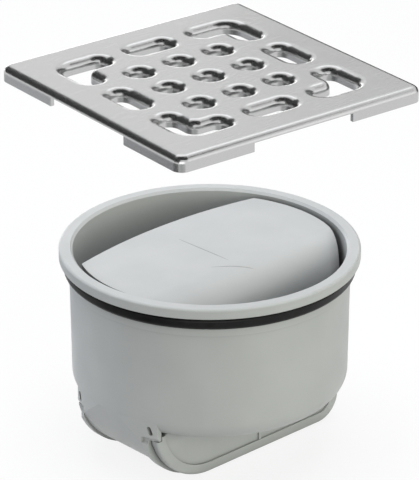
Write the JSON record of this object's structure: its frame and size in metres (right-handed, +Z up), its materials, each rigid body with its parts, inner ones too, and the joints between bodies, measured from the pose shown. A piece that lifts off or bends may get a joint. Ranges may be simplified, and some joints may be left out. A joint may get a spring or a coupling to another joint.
{
  "type": "shower trap",
  "caption": "Round push-in shower trap: grey cup with a seal ring under its rim, a hood over the overflow pipe, a sump closed by end caps, and a square pressed grate lifted off above it.",
  "frame": {"origin": "on the trap's axis, at the base of the sump where the trap stands", "axes": "+Z up along the trap's axis, out of its mouth; +X along the sump, towards its tighter bend; +Y towards the inlet well on the straight side of the hood"},
  "size_m": [0.1022, 0.1022, 0.1258],
  "materials": {
    "grey_plastic": "satin",
    "seal_rubber": "matte",
    "grate_steel": "satin"
  },
  "bodies": {
    "root": {"cup": "grey_plastic", "seal_ring": "seal_rubber", "hood": "grey_plastic", "end_cap_front": "grey_plastic", "end_cap_rear": "grey_plastic", "grate": "grate_steel"}
  },
  "joints": []
}
